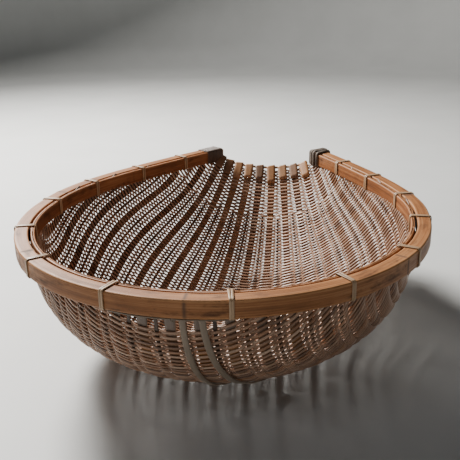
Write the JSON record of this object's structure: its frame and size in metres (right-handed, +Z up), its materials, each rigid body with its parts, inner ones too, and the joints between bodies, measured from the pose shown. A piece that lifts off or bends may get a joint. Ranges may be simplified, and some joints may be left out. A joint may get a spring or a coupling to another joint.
{
  "type": "winnowing basket",
  "caption": "Scoop-shaped winnowing basket of woven split bamboo and cane, with a horseshoe rim of two hoops lashed together and a mouth where the floor rises to a lip.",
  "frame": {"origin": "on the ground under the middle of the basket's length and width", "axes": "+Z up, +Y out of the mouth, +X to the right when looking out of the mouth from the heel"},
  "size_m": [0.603, 0.728, 0.2148],
  "materials": {
    "rim_bamboo": "old split bamboo, rubbed orange-brown with dark mottling and a worn satin skin",
    "inner_hoop_bamboo": "thin bamboo lath, reddish brown, satin",
    "main_warp_bamboo": "flat split-bamboo strips, smoky browns that vary from strip to strip",
    "thin_warp_bamboo": "narrow split bamboo, dark brown",
    "weft_cane": "thin round cane, smoked brown with a soft gloss on the tops",
    "lashing_cane": "split cane strands, pale tan, slightly glossy",
    "dark_binding_cane": "dark brown cane, worn",
    "bark_binding": "twisted bark, grey-brown, rough",
    "rim_cord_bast": "thin vine strand, dull grey-tan",
    "strap_cane": "flat vine strap, dull grey-tan, weathered"
  },
  "bodies": {
    "root": {"outer_hoop": "rim_bamboo", "inner_hoop": "inner_hoop_bamboo", "lip_rod": "lashing_cane", "main_warp_01": "main_warp_bamboo", "main_warp_02": "main_warp_bamboo", "main_warp_03": "main_warp_bamboo", "main_warp_04": "main_warp_bamboo", "main_warp_05": "main_warp_bamboo", "main_warp_06": "main_warp_bamboo", "main_warp_07": "main_warp_bamboo", "main_warp_08": "main_warp_bamboo", "main_warp_09": "main_warp_bamboo", "main_warp_10": "main_warp_bamboo", "main_warp_11": "main_warp_bamboo", "main_warp_12": "main_warp_bamboo", "main_warp_13": "main_warp_bamboo", "main_warp_14": "main_warp_bamboo", "main_warp_15": "main_warp_bamboo", "main_warp_16": "main_warp_bamboo", "main_warp_17": "main_warp_bamboo", "main_warp_18": "main_warp_bamboo", "main_warp_19": "main_warp_bamboo", "secondary_warps": "thin_warp_bamboo", "weft_panel_01": "weft_cane", "weft_panel_02": "weft_cane", "weft_panel_03": "weft_cane", "weft_panel_04": "weft_cane", "weft_panel_05": "weft_cane", "weft_panel_06": "weft_cane", "weft_panel_07": "weft_cane", "weft_panel_08": "weft_cane", "weft_panel_09": "weft_cane", "weft_panel_10": "weft_cane", "weft_panel_11": "weft_cane", "weft_panel_12": "weft_cane", "weft_panel_13": "weft_cane", "weft_panel_14": "weft_cane", "weft_panel_15": "weft_cane", "weft_panel_16": "weft_cane", "weft_panel_17": "weft_cane", "weft_panel_18": "weft_cane", "left_rim_wefts": "weft_cane", "right_rim_wefts": "weft_cane", "rim_lashings": "lashing_cane", "left_tip_binding": "dark_binding_cane", "right_tip_binding": "bark_binding", "rim_cord": "rim_cord_bast", "left_strap": "strap_cane", "right_strap": "strap_cane"}
  },
  "joints": []
}
